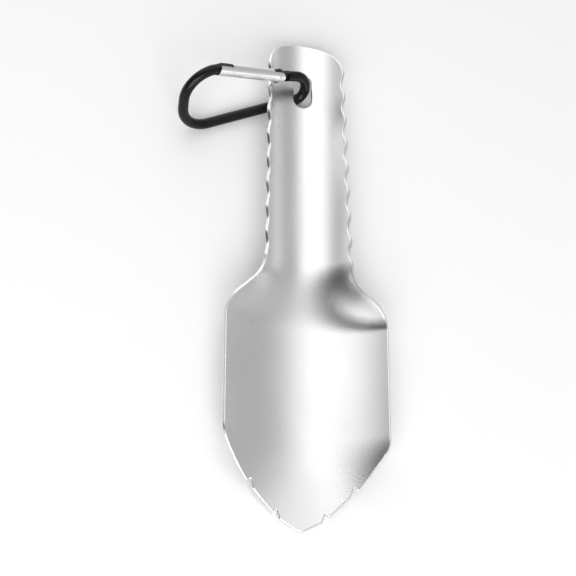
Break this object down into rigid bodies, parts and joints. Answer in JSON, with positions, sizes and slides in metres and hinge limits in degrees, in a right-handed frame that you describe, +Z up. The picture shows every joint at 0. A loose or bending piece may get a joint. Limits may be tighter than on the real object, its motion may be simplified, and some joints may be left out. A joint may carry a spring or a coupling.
{
  "type": "hand shovel",
  "caption": "Pressed sheet-metal hand shovel with a saw-toothed point, a scalloped trough handle and a small D-shaped carabiner through the slot in its end.",
  "frame": {"origin": "on the surface the shovel lies on, under the middle of the box round the shovel and its carabiner", "axes": "+Z up, out of the hollow side of blade and handle; +Y along the shovel, from the toothed point towards the handle end; +X across, to the side away from the carabiner's wide end"},
  "size_m": [0.0812, 0.1974, 0.0289],
  "materials": {
    "blasted_steel": "stainless steel, bead-blasted satin with a fine even grain, edges tumbled smooth",
    "black_anodised": "black anodised aluminium, glossy, worn bright at the hinge's shoulder",
    "bright_aluminium": "bare polished aluminium",
    "rivet_steel": "plain steel, low domed heads",
    "spring_steel": "bright spring steel"
  },
  "bodies": {
    "shovel": {"shovel_plate": "blasted_steel"},
    "carabiner": {"carabiner_body": "black_anodised"},
    "gate": {"carabiner_gate": "bright_aluminium", "gate_rivet": "rivet_steel", "gate_spring": "spring_steel"},
    "plunger": {"spring_plunger": "spring_steel"}
  },
  "joints": [
    {"name": "carabiner_swing", "type": "hinge", "parent": "shovel", "child": "carabiner", "pos_m": [0.0106, 0.0783, 0.00494], "axis": [0, 0, 1], "range_deg": [-80, 15]},
    {"name": "gate_hinge", "type": "hinge", "parent": "carabiner", "child": "gate", "pos_m": [-0.00283, 0.07624, 0.01624], "axis": [0.398, -0.8614, 0.3156], "range_deg": [0, 20], "stiffness_Nm_per_rad": 0.05, "springref_deg": -11.46},
    {"name": "plunger_slide", "type": "slide", "parent": "gate", "child": "plunger", "axis": [-0.8888, -0.2768, 0.3652], "range_m": [0, 0.00045], "deforming": ["gate_spring"]}
  ],
  "couplings": [
    {"joint": "plunger_slide", "follows": "gate_hinge", "m_per_rad": 0.00125}
  ]
}
